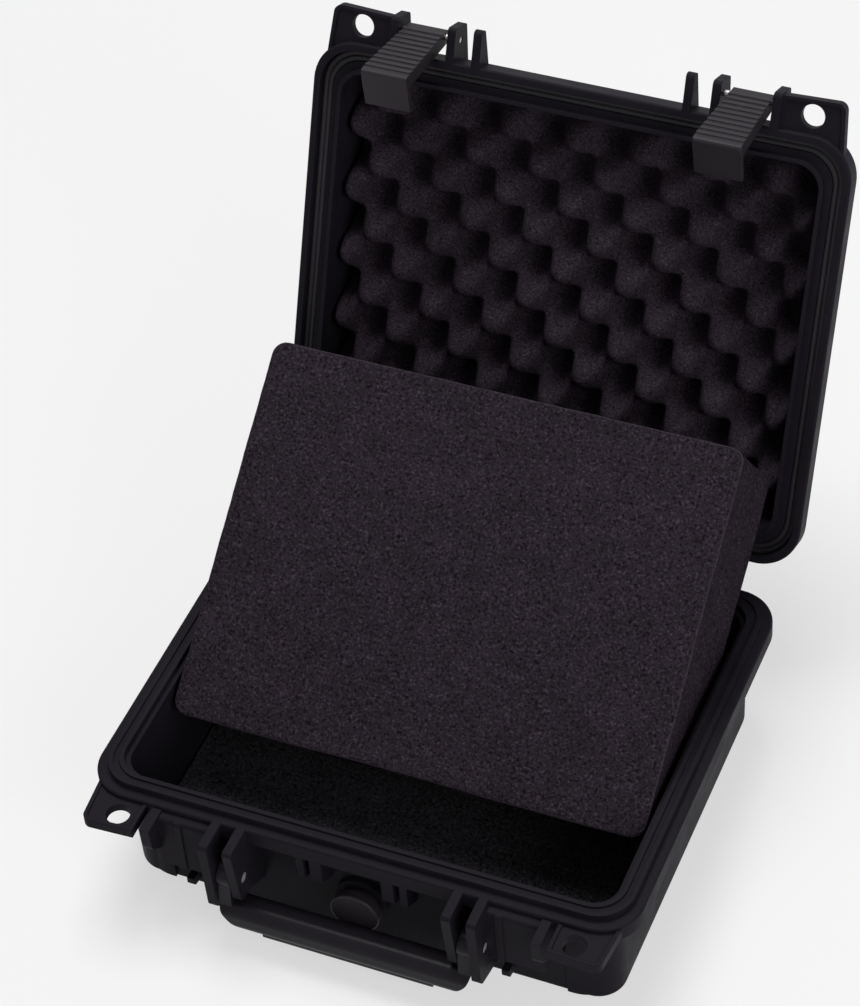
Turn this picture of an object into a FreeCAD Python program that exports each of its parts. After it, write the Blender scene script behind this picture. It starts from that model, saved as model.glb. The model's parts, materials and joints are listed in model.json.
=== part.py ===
import FreeCAD, Part
import math
import os

# Small hard case with a hinged lid, two swing latches, a front carrying handle and foam lining.
# Millimetres. The origin is the centre of the flat underside, +Z is up, and the latches face -Y.
# Places are mostly given as "forward" (in front of the flange edge) and "up" (above the rim plane).

# Overall case
flange_width = 260.0
flange_depth = 209.0
flange_corner_radius = 20.0
corner_tightening_share = 0.6
base_height = 65.5
lid_height = 46.0
lid_open_angle = 112.5
parting_gap = 0.3

# Walls of the two shells
wall_inset = 10.4
wall_draft_inset = 1.1
shell_wall = 3.0
floor_thickness = 3.0
lid_edge_round = 5.0
base_edge_round = 2.5
inner_edge_round = 3.0
flange_plate = 3.0
lid_skirt_height = 10.4
base_skirt_height = 8.6
flange_edge_round = 1.2
skirt_thickness = 2.6
overrun = 1.0
embed = 2.0

# Tongue on the base rim, with two ridges
tongue_outer_inset = 4.6
tongue_inner_inset = 11.2
tongue_height = 3.3
ridge_width = 2.2
ridge_valley_depth = 1.0

# Gasket groove and inner lip of the lid rim
lid_land_width = 3.6
rim_clearance = 0.5
lid_plate = 3.8
gasket_inner_inset = 8.8
gasket_depth = 2.0
gasket_proud = 0.2
gasket_ridge_height = 1.5
gasket_ridge_round = 1.1
gasket_side_clearance = 0.1
lip_outer_inset = 12.2
lip_inner_inset = 14.2
lip_lower_up = 1.0
lip_thickness = 2.0

# Ears with padlock holes at the front corners
ear_thickness = 5.0
ear_rim_offset = 1.8
base_ear_inner_x = 98.0
lid_ear_inner_x = 93.4
ear_outer_front_x = 122.5
ear_outer_back_x = 124.8
ear_back_inset = 9.5
ear_reach_outer = 16.6
ear_reach_inner = 15.4
ear_border_width = 1.8
ear_border_height = 0.8
ear_corner_radius = 4.0
ear_root_inset = 13.0
ear_root_x = 116.0
ear_hole_x = 108.2
ear_hole_forward = 8.2
ear_hole_radius = 5.5

# Corner zones of the base front, a little prouder than the middle
corner_zone_width = 22.5
corner_zone_proud = 1.3
corner_zone_radius = 20.0
corner_zone_depth = 40.0

# Plates on the front of the base that carry the handle
handle_plate_thickness = 4.4
outer_plate_x = 63.5
inner_plate_x = 51.8
plate_knee_forward = 15.5
plate_foot_forward = 14.0
plate_foot_drop = 43.0
plate_root_drop = 50.0
inner_foot_forward = 11.6
inner_foot_drop = 37.4
inner_foot_back = 3.0
inner_root_drop = 46.0
plate_corner_radius = 2.0
plate_foot_radius = 4.0

# Guard rib beside each latch, the catch that the latch hooks under, and the ribs in its middle
guard_inner_x = 90.4
guard_thickness = 4.6
guard_top_forward = 14.0
guard_low_forward = 13.0
guard_low_drop = 15.0
guard_root_drop = 38.0
guard_corner_radius = 5.0
catch_forward = 4.5
catch_top_drop = 3.0
catch_bottom_drop = 33.6
latch_rib_x = 76.5
latch_rib_shift = 4.6
latch_rib_thickness = 3.6
latch_rib_forward = 5.2
latch_foot_forward = 1.5
latch_foot_top_drop = 45.0
latch_foot_low_drop = 49.5
latch_foot_root_drop = 53.0

# Short stiffening ribs under the flange, a broad and a narrow one on each side of the valve
broad_rib_x = 17.2
broad_rib_thickness = 5.8
narrow_rib_x = 24.8
narrow_rib_thickness = 3.6
short_rib_inset = 0.6
short_rib_front_drop = 22.5
short_rib_root_drop = 30.0

# Handle and its two pivot pins
handle_axis_forward = 6.7
handle_axis_drop = 24.8
handle_pin_radius = 2.5
pin_seat_clearance = 0.02
running_clearance = 0.05
pin_end_recess = 0.3
handle_side_clearance = 0.5
arm_eye_radius = 6.0
arm_width = 10.0
grip_front_forward = 15.5
grip_back_forward = 1.5
grip_top_drop = 39.5
grip_bottom_drop = 54.5
grip_round = 5.5
grip_corner_radius = 18.0
fin_half_length = 41.0
fin_drop = 58.0
fin_front_forward = 13.0
fin_back_forward = 6.5
fin_round = 2.5

# Hinge: two groups of knuckles on steel pins
hinge_back = 8.2
hinge_drop = 3.1
hinge_group_x = 65.0
lid_knuckle_width = 14.0
base_knuckle_width = 9.0
knuckle_side_clearance = 0.3
knuckle_radius = 5.0
hinge_pin_radius = 2.0
hinge_pin_overhang = 0.4
base_web_top_drop = 1.0
base_web_bottom_drop = 8.0
lid_web_top = 7.0
web_root_inset = 2.0

# Ribs on the front of the lid that carry the latches
lid_rib_root_up = 23.0
lid_rib_shoulder_up = 14.0
lid_rib_forward = 16.0
lid_rib_thickness = 4.0
lid_outer_rib_x = 91.8
lid_inner_rib_x = 63.6
lid_side_rib_x = 50.9
lid_side_rib_root_up = 18.0
lid_side_rib_shoulder_up = 5.0
lid_side_rib_forward = 17.0
lid_rib_corner_radius = 2.0

# Latch, drawn as it lies when the case is shut and latched
latch_x = 78.5
latch_top_width = 19.0
latch_bottom_width = 22.4
latch_axis_forward = 9.2
latch_axis_up = 8.0
latch_pin_radius = 1.5
latch_outer_forward = 12.0
latch_plate = 4.0
latch_eye_back = 5.6
latch_eye_top_up = 11.6
latch_eye_bottom_up = 4.0
latch_eye_round = 2.4
latch_bottom_drop = 43.0
hook_tip_inset = 7.7
hook_tip_drop = 37.1
hook_thickness = 3.0
latch_cheek = 2.0
latch_corner_radius = 1.5
latch_ridge_count = 10
latch_ridge_pitch = 4.5
latch_ridge_width = 2.0
latch_ridge_proud = 0.6
latch_ridge_first_up = 4.5
latch_hang_angle = 11.0

# Pressure valve low in the middle of the front
valve_above_pad = 16.9
valve_pad_inset = 7.5
valve_pad_back_inset = 15.0
valve_pad_radius = 12.5
valve_inner_pad_radius = 10.0
valve_bore_radius = 5.2
bush_clearance = 0.1
bush_flange_radius = 9.5
bush_flange = 1.8
valve_seal_thickness = 1.2
valve_seal_outer_radius = 8.5
nut_radius = 8.6
nut_thickness = 3.0
bush_end_past_nut = 0.4
knob_radius = 11.6
knob_front_inset = -0.8
knob_seal_thickness = 0.8
knob_seal_outer_radius = 5.0
knob_edge_round = 1.0
stem_radius = 2.5
soft_clearance = 0.3

# Foam lining
pad_thickness = 8.5
pad_edge_clearance = 0.4
lid_foam_depth = 14.0
lid_foam_tip_up = 8.0
foam_peak_pitch_x = 15.9
foam_peak_pitch_y = 16.2
foam_peak_phase_x = 13.4
foam_peak_phase_y = 1.2
foam_peak_foot_radius = 10.0
foam_peak_tip_radius = 2.6
block_side_clearance = 0.5
block_round = 7.0
block_heel_from_back = 114.5
block_lean_angle = 37.0

half = 0.5

# Worked out from the sizes above
front_y = -half * flange_depth
back_y = half * flange_depth
rim_z = base_height
valve_z = floor_thickness + pad_thickness + valve_above_pad
hinge_y = back_y + hinge_back
hinge_z = rim_z - hinge_drop
x_axis = FreeCAD.Vector(1, 0, 0)
y_axis = FreeCAD.Vector(0, 1, 0)
z_axis = FreeCAD.Vector(0, 0, 1)
cavity_inset = wall_inset + shell_wall
lid_underside_up = tongue_height + rim_clearance
guard_outer_x = guard_inner_x + guard_thickness
outer_plate_inner_x = outer_plate_x - half * handle_plate_thickness
outer_plate_outer_x = outer_plate_x + half * handle_plate_thickness
inner_plate_inner_x = inner_plate_x - half * handle_plate_thickness
inner_plate_outer_x = inner_plate_x + half * handle_plate_thickness
sides = (-1, 1)


def front_point(forward, up):
    """A place in the Y-Z plane, given forward of the flange edge and above the rim plane."""
    return (front_y - forward, rim_z + up)


def outline(inset, z):
    """Closed rounded rectangle that lies inside the flange edge by the given inset."""
    half_x = half * flange_width - inset
    half_y = half * flange_depth - inset
    radius = flange_corner_radius - corner_tightening_share * inset
    corners = []
    for sign_x, sign_y in ((1, -1), (1, 1), (-1, 1), (-1, -1)):
        corners.append((FreeCAD.Vector(sign_x * half_x, sign_y * half_y, z), radius))
    return rounded_wire(corners)


def rounded_wire(corners):
    """Closed flat wire through corner points, each rounded by its own radius."""
    starts = []
    arcs = []
    count = len(corners)
    for i, (point, radius) in enumerate(corners):
        before = (corners[i - 1][0] - point).normalize()
        after = (corners[(i + 1) % count][0] - point).normalize()
        turn = before.getAngle(after)
        cut_back = radius / math.tan(half * turn)
        enter = point + before * cut_back
        leave = point + after * cut_back
        middle = (before + after).normalize()
        centre = point + middle * (radius / math.sin(half * turn))
        starts.append((enter, leave))
        if radius > 0:
            arcs.append(Part.Arc(enter, centre - middle * radius, leave).toShape())
        else:
            arcs.append(None)
    edges = []
    for i in range(count):
        if arcs[i]:
            edges.append(arcs[i])
        edges.append(Part.makeLine(starts[i][1], starts[(i + 1) % count][0]))
    return Part.Wire(edges)


def prism(inset, low, high):
    """Upright block with the rounded outline of the given inset."""
    return Part.Face(outline(inset, low)).extrude(z_axis * (high - low))


def ring(outer_inset, inner_inset, low, high):
    """Upright band between two insets of the flange edge."""
    return prism(outer_inset, low, high).cut(prism(inner_inset, low - overrun, high + overrun))


def drafted_block(low_inset, high_inset, low, high):
    """Block whose sides slope from one inset to another."""
    return Part.makeLoft([outline(low_inset, low), outline(high_inset, high)], True, True)


def round_level_edges(shape, level, radius):
    """Round every edge that lies in one level plane."""
    edges = []
    for edge in shape.Edges:
        box = edge.BoundBox
        if abs(box.ZMin - level) < pin_seat_clearance and abs(box.ZMax - level) < pin_seat_clearance:
            edges.append(edge)
    return shape.makeFillet(radius, edges)


def side_plate(points, x_first, x_last):
    """Plate across X with an outline of (y, z, corner radius) points."""
    low_x = min(x_first, x_last)
    corners = []
    for y, z, radius in points:
        corners.append((FreeCAD.Vector(low_x, y, z), radius))
    return Part.Face(rounded_wire(corners)).extrude(x_axis * abs(x_last - x_first))


def front_plate(points, x_first, x_last):
    """Plate across X with an outline of (forward, up, corner radius) points."""
    placed = []
    for forward, up, radius in points:
        y, z = front_point(forward, up)
        placed.append((y, z, radius))
    return side_plate(placed, x_first, x_last)


def x_cylinder(radius, x_first, x_last, y, z):
    """Round bar along X."""
    start = FreeCAD.Vector(min(x_first, x_last), y, z)
    return Part.makeCylinder(radius, abs(x_last - x_first), start, x_axis)


def front_cylinder(radius, front_inset, back_inset):
    """Round bar along Y on the valve's axis, between two insets."""
    start = FreeCAD.Vector(0, front_y + front_inset, valve_z)
    return Part.makeCylinder(radius, back_inset - front_inset, start, y_axis)


def front_tube(outer_radius, inner_radius, front_inset, back_inset):
    """Round tube along Y on the valve's axis."""
    bore = front_cylinder(inner_radius, front_inset - overrun, back_inset + overrun)
    return front_cylinder(outer_radius, front_inset, back_inset).cut(bore)


def ear_block(side, inner_x, border, low, high):
    """Flat block with the ear's outline drawn in by the given border."""
    points = (
        (ear_outer_back_x - border, -ear_back_inset, 0),
        (ear_outer_front_x - border, ear_reach_outer - border, ear_corner_radius - border),
        (inner_x + border, ear_reach_inner - border, 0),
        (inner_x + border, -ear_root_inset, 0),
        (ear_root_x, -ear_root_inset, 0),
    )
    corners = []
    for x, forward, radius in points:
        corners.append((FreeCAD.Vector(side * x, front_y - forward, low), radius))
    return Part.Face(rounded_wire(corners)).extrude(z_axis * (high - low))


def ear(side, inner_x, direction):
    """Corner ear with its padlock hole, below (-1) or above (1) the rim, bordered on the rim's side."""
    near = rim_z + direction * ear_rim_offset
    bed = near + direction * ear_border_height
    far = near + direction * ear_thickness
    plate = ear_block(side, inner_x, 0, min(near, far), max(near, far))
    pocket = ear_block(side, inner_x, ear_border_width, min(near, bed), max(near, bed))
    start = FreeCAD.Vector(side * ear_hole_x, front_y - ear_hole_forward, min(near, far) - overrun)
    hole = Part.makeCylinder(ear_hole_radius, ear_thickness + 2 * overrun, start, z_axis)
    return plate.cut([pocket, hole])


def corner_zone(side):
    """Prouder zone of the base front at one corner."""
    inset = wall_inset + wall_draft_inset
    side_x = half * flange_width - inset
    inner_x = side_x - corner_zone_width
    zone_front = front_y + inset - corner_zone_proud
    zone_back = zone_front + corner_zone_depth
    corners = (
        (FreeCAD.Vector(side * inner_x, zone_front, 0), 0),
        (FreeCAD.Vector(side * side_x, zone_front, 0), corner_zone_radius),
        (FreeCAD.Vector(side * side_x, zone_back, 0), 0),
        (FreeCAD.Vector(side * inner_x, zone_back, 0), 0),
    )
    block = Part.Face(rounded_wire(corners)).extrude(z_axis * (rim_z - half * flange_plate))
    return round_level_edges(block, 0, base_edge_round)


def base_front_ribs(side):
    """Handle plates, latch guard, catch and latch ribs on one side of the base."""
    root = -(wall_inset + embed)
    outer = (
        (root, 0, 0),
        (plate_knee_forward, 0, plate_corner_radius),
        (plate_foot_forward, -plate_foot_drop, plate_foot_radius),
        (root, -plate_root_drop, 0),
    )
    inner = (
        (root, 0, 0),
        (plate_knee_forward, 0, plate_corner_radius),
        (inner_foot_forward, -inner_foot_drop, plate_foot_radius),
        (inner_foot_back, -inner_foot_drop, 0),
        (root, -inner_root_drop, 0),
    )
    guard = (
        (root, -ear_rim_offset, 0),
        (guard_top_forward, -ear_rim_offset, 0),
        (guard_low_forward, -guard_low_drop, guard_corner_radius),
        (root, -guard_root_drop, 0),
    )
    catch = (
        (root, -catch_top_drop, 0),
        (catch_forward, -catch_top_drop, plate_corner_radius),
        (catch_forward, -catch_bottom_drop, 0),
        (root, -catch_bottom_drop, 0),
    )
    middle = (
        (root, -catch_top_drop, 0),
        (latch_rib_forward, -catch_top_drop, plate_corner_radius),
        (latch_rib_forward, -catch_bottom_drop, 0),
        (root, -catch_bottom_drop, 0),
    )
    foot = (
        (root, -latch_foot_top_drop, 0),
        (latch_foot_forward, -latch_foot_top_drop, 0),
        (latch_foot_forward, -latch_foot_low_drop, plate_corner_radius),
        (root, -latch_foot_root_drop, 0),
    )
    catch_inner_x = outer_plate_outer_x - embed
    rib_low_x = side * latch_rib_x - latch_rib_shift - half * latch_rib_thickness
    rib_high_x = rib_low_x + latch_rib_thickness
    return [
        front_plate(outer, side * outer_plate_inner_x, side * outer_plate_outer_x),
        front_plate(inner, side * inner_plate_inner_x, side * inner_plate_outer_x),
        front_plate(guard, side * guard_inner_x, side * guard_outer_x),
        front_plate(catch, side * catch_inner_x, side * (guard_inner_x + embed)),
        front_plate(middle, rib_low_x, rib_high_x),
        front_plate(foot, rib_low_x, rib_high_x),
    ]


def short_rib(middle_x, thickness):
    """Small sloping rib under the flange beside the valve."""
    root = -(wall_inset + embed)
    points = (
        (root, -flange_plate, 0),
        (-short_rib_inset, -flange_plate, 0),
        (-short_rib_inset, -short_rib_front_drop, 0),
        (root, -short_rib_root_drop, 0),
    )
    low_x = middle_x - half * thickness
    return front_plate(points, low_x, low_x + thickness)


def base_knuckles(side):
    """The two base knuckles of one hinge group, with their webs."""
    web = (
        (back_y - web_root_inset, rim_z - base_web_top_drop, 0),
        (hinge_y, rim_z - base_web_top_drop, 0),
        (hinge_y, rim_z - base_web_bottom_drop, 0),
        (back_y - web_root_inset, rim_z - base_web_bottom_drop, 0),
    )
    inner = half * lid_knuckle_width + knuckle_side_clearance
    made = []
    for sign in sides:
        centre = side * hinge_group_x
        first = centre + sign * inner
        last = first + sign * base_knuckle_width
        made.append(side_plate(web, first, last))
        made.append(x_cylinder(knuckle_radius, first, last, hinge_y, hinge_z))
    return made


def hinge_bore(side, radius):
    """Round bar through one whole hinge group, wider than the group."""
    reach = half * lid_knuckle_width + knuckle_side_clearance + base_knuckle_width + overrun
    centre = side * hinge_group_x
    return x_cylinder(radius, centre - reach, centre + reach, hinge_y, hinge_z)


def make_base_shell():
    """Base tub with its flange, tongue, ears, ribs, hinge knuckles and valve seat."""
    tub = drafted_block(wall_inset + wall_draft_inset, wall_inset, 0, rim_z)
    tub = round_level_edges(tub, 0, base_edge_round)
    flange = round_level_edges(prism(0, rim_z - flange_plate, rim_z), rim_z, flange_edge_round)
    flange = flange.cut(prism(wall_inset, rim_z - flange_plate - overrun, rim_z + overrun))
    skirt = ring(0, skirt_thickness, rim_z - base_skirt_height, rim_z - half * flange_plate)
    tongue = ring(tongue_outer_inset, tongue_inner_inset, rim_z - flange_plate, rim_z + tongue_height)
    valley = ring(
        tongue_outer_inset + ridge_width,
        tongue_inner_inset - ridge_width,
        rim_z + tongue_height - ridge_valley_depth,
        rim_z + tongue_height + overrun,
    )
    pieces = [flange, skirt, tongue]
    for side in sides:
        pieces.append(ear(side, base_ear_inner_x, -1))
        pieces.append(corner_zone(side))
        pieces += base_front_ribs(side)
        pieces.append(short_rib(side * broad_rib_x, broad_rib_thickness))
        pieces.append(short_rib(side * narrow_rib_x, narrow_rib_thickness))
        pieces += base_knuckles(side)
    pieces.append(front_cylinder(valve_pad_radius, valve_pad_inset, cavity_inset))
    shell = tub.fuse(pieces)
    cavity = drafted_block(
        cavity_inset + wall_draft_inset,
        cavity_inset,
        floor_thickness,
        rim_z + overrun,
    )
    cavity = round_level_edges(cavity, floor_thickness, inner_edge_round)
    shell = shell.cut(cavity)
    shell = shell.fuse(front_cylinder(valve_inner_pad_radius, wall_inset + embed, valve_pad_back_inset))
    cuts = [valley, front_cylinder(valve_bore_radius, 0, valve_pad_back_inset + overrun)]
    for side in sides:
        first = side * (inner_plate_inner_x - overrun)
        last = side * (outer_plate_outer_x + pin_seat_clearance)
        y, z = front_point(handle_axis_forward, -handle_axis_drop)
        cuts.append(x_cylinder(handle_pin_radius + pin_seat_clearance, first, last, y, z))
        cuts.append(hinge_bore(side, hinge_pin_radius + pin_seat_clearance))
    return shell.cut(cuts).removeSplitter()


def lid_rib(middle_x, forward, shoulder_up, root_up):
    """One front rib of the lid, in the shut attitude."""
    root = -(wall_inset + embed)
    points = (
        (root, parting_gap, 0),
        (forward, parting_gap, lid_rib_corner_radius),
        (forward, shoulder_up, lid_rib_corner_radius),
        (root, root_up, 0),
    )
    low_x = middle_x - half * lid_rib_thickness
    return front_plate(points, low_x, low_x + lid_rib_thickness)


def lid_knuckle(side):
    """The lid knuckle of one hinge group, with its web, in the shut attitude."""
    web = (
        (back_y - web_root_inset, rim_z + parting_gap, 0),
        (back_y - web_root_inset, rim_z + lid_web_top, 0),
        (hinge_y, rim_z + lid_web_top - hinge_drop, knuckle_radius),
        (hinge_y + knuckle_radius, hinge_z, 0),
        (hinge_y - knuckle_radius, hinge_z, 0),
        (hinge_y - knuckle_radius, rim_z + parting_gap, 0),
    )
    first = side * hinge_group_x - half * lid_knuckle_width
    last = first + lid_knuckle_width
    return [side_plate(web, first, last), x_cylinder(knuckle_radius, first, last, hinge_y, hinge_z)]


def make_lid_shell():
    """Lid with its flange, gasket groove, ears, latch ribs and hinge knuckles, in the shut attitude."""
    low = rim_z + parting_gap
    top = rim_z + lid_height
    underside = rim_z + lid_underside_up
    crown = drafted_block(wall_inset, wall_inset + wall_draft_inset, underside, top)
    crown = round_level_edges(crown, top, lid_edge_round)
    skirt = round_level_edges(prism(0, low, rim_z + lid_skirt_height), low, flange_edge_round)
    skirt = skirt.cut(prism(lid_land_width, low - overrun, rim_z + lid_skirt_height + overrun))
    plate = ring(lid_land_width - pin_seat_clearance, wall_inset + embed, underside, underside + lid_plate)
    pieces = [skirt, plate]
    for side in sides:
        pieces.append(ear(side, lid_ear_inner_x, 1))
        for middle_x in (lid_outer_rib_x, lid_inner_rib_x):
            pieces.append(lid_rib(side * middle_x, lid_rib_forward, lid_rib_shoulder_up, lid_rib_root_up))
        side_rib_x = side * lid_side_rib_x
        shoulder_up = lid_side_rib_shoulder_up
        pieces.append(lid_rib(side_rib_x, lid_side_rib_forward, shoulder_up, lid_side_rib_root_up))
        pieces += lid_knuckle(side)
    shell = crown.fuse(pieces)
    ceiling = top - shell_wall
    cavity = drafted_block(cavity_inset, cavity_inset + wall_draft_inset, underside - overrun, ceiling)
    cavity = round_level_edges(cavity, ceiling, inner_edge_round)
    shell = shell.cut(cavity)
    lip = ring(lip_outer_inset, lip_inner_inset, rim_z + lip_lower_up, underside + lip_thickness)
    cuts = [
        ring(lid_land_width, gasket_inner_inset, underside - overrun, underside + gasket_depth),
        ring(lid_land_width, cavity_inset + embed, rim_z - overrun, underside),
    ]
    for side in sides:
        cuts.append(latch_pin_bar(side, latch_pin_radius + running_clearance, overrun))
        cuts.append(hinge_bore(side, hinge_pin_radius + running_clearance))
    return shell.cut(cuts).fuse(lip).removeSplitter()


def latch_pin_bar(side, radius, spare):
    """Round bar on a latch's pivot, through both ribs, in the shut attitude."""
    inner = lid_inner_rib_x - half * lid_rib_thickness - spare
    outer = lid_outer_rib_x + half * lid_rib_thickness + spare
    y, z = front_point(latch_axis_forward, latch_axis_up)
    return x_cylinder(radius, side * inner, side * outer, y, z)


def latch_envelope(side):
    """Block along Y with the latch's tapered outline as seen from the front."""
    deep = latch_outer_forward + latch_ridge_proud + overrun
    depth = deep + hook_tip_inset + overrun
    z_top = rim_z + latch_eye_top_up + overrun
    z_bottom = rim_z - latch_bottom_drop
    corners = []
    for sign, z, width, radius in (
        (-1, z_top, latch_top_width, 0),
        (1, z_top, latch_top_width, 0),
        (1, z_bottom, latch_bottom_width, latch_corner_radius),
        (-1, z_bottom, latch_bottom_width, latch_corner_radius),
    ):
        corners.append((FreeCAD.Vector(side * latch_x + sign * half * width, front_y - deep, z), radius))
    return Part.Face(rounded_wire(corners)).extrude(y_axis * depth)


def make_latch(side):
    """Latch with its eye, two side cheeks, hook and grip ridges, in the latched attitude."""
    plate_inner = latch_outer_forward - latch_plate
    hook_root = -latch_bottom_drop + latch_plate + half * latch_corner_radius
    profile = (
        (latch_outer_forward, latch_eye_top_up, latch_eye_round),
        (latch_outer_forward, -latch_bottom_drop, latch_corner_radius),
        (-hook_tip_inset, -hook_tip_drop, 0),
        (-hook_tip_inset, -hook_tip_drop + hook_thickness, 0),
        (latch_eye_back, hook_root, latch_corner_radius),
        (latch_eye_back, latch_eye_top_up, latch_eye_round),
    )
    pocket = (
        (plate_inner, half * latch_eye_bottom_up, 0),
        (plate_inner, hook_root, 0),
        (latch_eye_back - overrun, hook_root, 0),
        (latch_eye_back - overrun, latch_eye_bottom_up, 0),
    )
    first = side * (latch_x - half * latch_bottom_width)
    last = side * (latch_x + half * latch_bottom_width)
    pieces = []
    for i in range(latch_ridge_count):
        top = latch_ridge_first_up - i * latch_ridge_pitch
        bottom = top - latch_ridge_width
        ridge = (
            (latch_outer_forward - embed, top, 0),
            (latch_outer_forward + latch_ridge_proud, top, half * latch_ridge_proud),
            (latch_outer_forward + latch_ridge_proud, bottom, half * latch_ridge_proud),
            (latch_outer_forward - embed, bottom, 0),
        )
        pieces.append(front_plate(ridge, first, last))
    latch = front_plate(profile, first, last).fuse(pieces).common(latch_envelope(side))
    reach = half * latch_top_width - latch_cheek
    hollow = front_plate(pocket, side * (latch_x - reach), side * (latch_x + reach))
    bore = latch_pin_bar(side, latch_pin_radius + running_clearance, overrun)
    return latch.cut([hollow, bore]).removeSplitter()


def handle_envelope(half_width):
    """Block along Y with the handle's U shape as seen from the front, its lower corners round."""
    z_top = rim_z - handle_axis_drop + arm_eye_radius + overrun
    z_bottom = rim_z - grip_bottom_drop
    corners = []
    for x, z, radius in (
        (-half_width, z_top, 0),
        (half_width, z_top, 0),
        (half_width, z_bottom, grip_corner_radius),
        (-half_width, z_bottom, grip_corner_radius),
    ):
        corners.append((FreeCAD.Vector(x, front_y - grip_front_forward - overrun, z), radius))
    return Part.Face(rounded_wire(corners)).extrude(y_axis * (grip_front_forward + 2 * overrun))


def make_handle():
    """U-shaped handle: two arms with pivot eyes and a rounded grip bar with a lower fin."""
    gap_inner = inner_plate_outer_x + handle_side_clearance
    gap_outer = outer_plate_inner_x - handle_side_clearance
    grip = front_plate(
        (
            (grip_front_forward, -grip_top_drop, grip_round),
            (grip_back_forward, -grip_top_drop, grip_round),
            (grip_back_forward, -grip_bottom_drop, grip_round),
            (grip_front_forward, -grip_bottom_drop, grip_round),
        ),
        -gap_outer,
        gap_outer,
    )
    fin = front_plate(
        (
            (fin_front_forward, -grip_top_drop - grip_round, 0),
            (fin_back_forward, -grip_top_drop - grip_round, 0),
            (fin_back_forward, -fin_drop, fin_round),
            (fin_front_forward, -fin_drop, fin_round),
        ),
        -fin_half_length,
        fin_half_length,
    )
    pieces = []
    eye_y, eye_z = front_point(handle_axis_forward, -handle_axis_drop)
    middle_forward = half * (grip_front_forward + grip_back_forward)
    for side in sides:
        pieces.append(x_cylinder(arm_eye_radius, side * gap_inner, side * gap_outer, eye_y, eye_z))
        arm = (
            (handle_axis_forward + half * arm_width, -handle_axis_drop, 0),
            (handle_axis_forward - half * arm_width, -handle_axis_drop, 0),
            (middle_forward - half * arm_width, -grip_top_drop - grip_round, 0),
            (middle_forward + half * arm_width, -grip_top_drop - grip_round, 0),
        )
        pieces.append(front_plate(arm, side * gap_inner, side * gap_outer))
    handle = grip.fuse(pieces).common(handle_envelope(gap_outer)).fuse(fin)
    bore = x_cylinder(
        handle_pin_radius + running_clearance,
        -outer_plate_x,
        outer_plate_x,
        eye_y,
        eye_z,
    )
    return handle.cut(bore).removeSplitter()


def make_handle_pin(side):
    """Steel pivot pin of the handle."""
    y, z = front_point(handle_axis_forward, -handle_axis_drop)
    first = side * (inner_plate_inner_x + pin_end_recess)
    return x_cylinder(handle_pin_radius, first, side * (outer_plate_outer_x - pin_end_recess), y, z)


def make_hinge_pin(side):
    """Steel pin of one hinge group."""
    reach = half * lid_knuckle_width + knuckle_side_clearance + base_knuckle_width + hinge_pin_overhang
    centre = side * hinge_group_x
    return x_cylinder(hinge_pin_radius, centre - reach, centre + reach, hinge_y, hinge_z)


def make_valve():
    """Seal, bush, nut, knob seal and knob of the pressure valve."""
    shank = valve_bore_radius - bush_clearance
    bore = stem_radius + running_clearance
    flange_back = valve_pad_inset - valve_seal_thickness
    flange_front = flange_back - bush_flange
    nut_back = valve_pad_back_inset + nut_thickness
    bush_end = nut_back + bush_end_past_nut
    knob_back = flange_front - knob_seal_thickness
    bush = front_cylinder(bush_flange_radius, flange_front, flange_back)
    bush = bush.fuse(front_cylinder(shank, flange_front, bush_end))
    bush = bush.cut(front_cylinder(bore, flange_front - overrun, bush_end + overrun))
    knob = front_cylinder(knob_radius, knob_front_inset, knob_back)
    front = [e for e in knob.Edges if abs(e.BoundBox.YMax - front_y - knob_front_inset) < pin_seat_clearance]
    knob = knob.makeFillet(knob_edge_round, front)
    knob = knob.fuse(front_cylinder(stem_radius, knob_back - half * bush_flange, bush_end))
    seal_back = flange_front - pin_seat_clearance
    return {
        "valve_seal": front_tube(valve_seal_outer_radius, valve_bore_radius, flange_back, valve_pad_inset),
        "valve_bush": bush,
        "valve_nut": front_tube(nut_radius, shank, valve_pad_back_inset, nut_back),
        "knob_seal": front_tube(knob_seal_outer_radius, stem_radius, knob_back, seal_back),
        "valve_knob": knob,
    }


def make_gasket():
    """Sealing ring with two round ridges in the groove of the lid rim, in the shut attitude."""
    underside = rim_z + lid_underside_up
    crest = underside - gasket_proud
    outer = lid_land_width + gasket_side_clearance
    inner = gasket_inner_inset - gasket_side_clearance
    middle = half * (outer + inner)
    gasket = ring(outer, inner, crest + gasket_ridge_height, underside + gasket_depth)
    for first, last in ((outer, middle), (middle, inner)):
        ridge = ring(first, last, crest, underside + gasket_depth)
        gasket = gasket.fuse(round_level_edges(ridge, crest, gasket_ridge_round))
    return gasket.removeSplitter()


def make_lid_foam():
    """Wave-topped foam sheet in the lid, its peaks on a checkerboard, in the shut attitude."""
    ceiling = rim_z + lid_height - shell_wall
    inset = cavity_inset + wall_draft_inset + soft_clearance
    foot = ceiling - lid_foam_depth
    sheet = prism(inset, foot, ceiling - inner_edge_round)
    sheet = sheet.fuse(prism(inset + inner_edge_round, ceiling - inner_edge_round, ceiling))
    tip = rim_z + lid_foam_tip_up
    half_x = half * flange_width - inset - foam_peak_foot_radius
    half_y = half * flange_depth - inset - foam_peak_foot_radius
    columns = math.ceil(half_x / foam_peak_pitch_x)
    rows = math.ceil(half_y / foam_peak_pitch_y)
    peaks = []
    for i in range(-columns, columns + 1):
        for j in range(-rows, rows + 1):
            x = i * foam_peak_pitch_x + foam_peak_phase_x
            y = j * foam_peak_pitch_y + foam_peak_phase_y
            if (i + j) % 2 or abs(x) > half_x or abs(y) > half_y:
                continue
            centre = FreeCAD.Vector(x, y, tip)
            peak = Part.makeCone(foam_peak_tip_radius, foam_peak_foot_radius, foot - tip, centre, z_axis)
            peaks.append(peak)
    return sheet.fuse(peaks).removeSplitter()


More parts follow.
